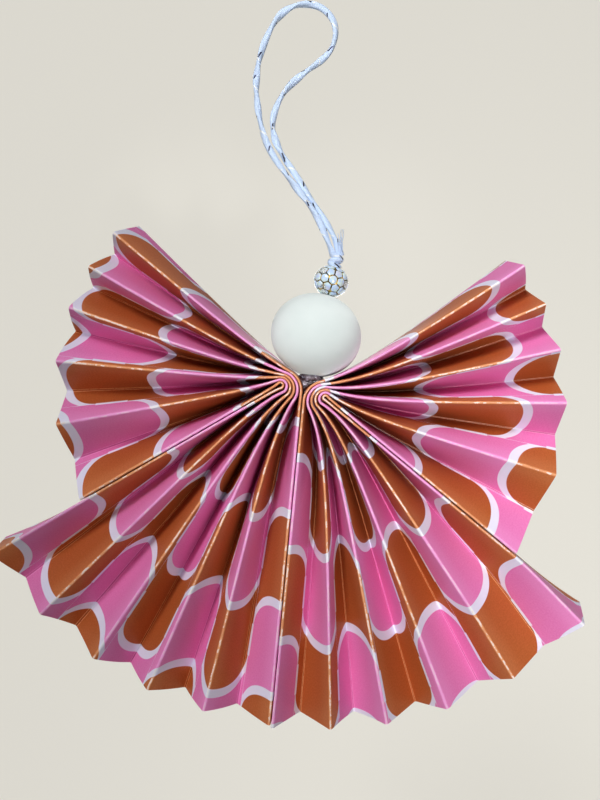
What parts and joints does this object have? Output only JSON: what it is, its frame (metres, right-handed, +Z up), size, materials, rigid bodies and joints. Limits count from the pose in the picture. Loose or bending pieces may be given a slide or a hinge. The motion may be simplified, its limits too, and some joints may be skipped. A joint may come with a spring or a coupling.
{
  "type": "paper angel ornament",
  "caption": "Hanging angel of pleated printed paper, with a wooden bead head, a jewelled crown bead and a knotted cord loop.",
  "frame": {"origin": "underside of the top of the cord loop, where a hook or branch carries the ornament", "axes": "+Z up; +X to the viewer's right, across the wings; -Y to the front, towards the viewer"},
  "size_m": [0.1588, 0.024, 0.1901],
  "materials": {
    "printed_paper": "satin print in pink and copper waves with pale outlines",
    "glue": "clear dried craft glue",
    "head_wood": "matte white",
    "gold_metal": "old gold",
    "opal_stones": "white opal",
    "cord_fibre": "soft pale blue cord with metallic flecks"
  },
  "bodies": {
    "root": {"left_sheet": "printed_paper", "right_sheet": "printed_paper", "seam_glue": "glue", "left_fan_glue": "glue", "right_fan_glue": "glue", "neck_glue": "glue", "head_bead": "head_wood", "crown_bead": "gold_metal", "crown_stones": "opal_stones", "loop_cord": "cord_fibre", "cord_knot": "cord_fibre", "cord_core": "cord_fibre"}
  },
  "joints": []
}
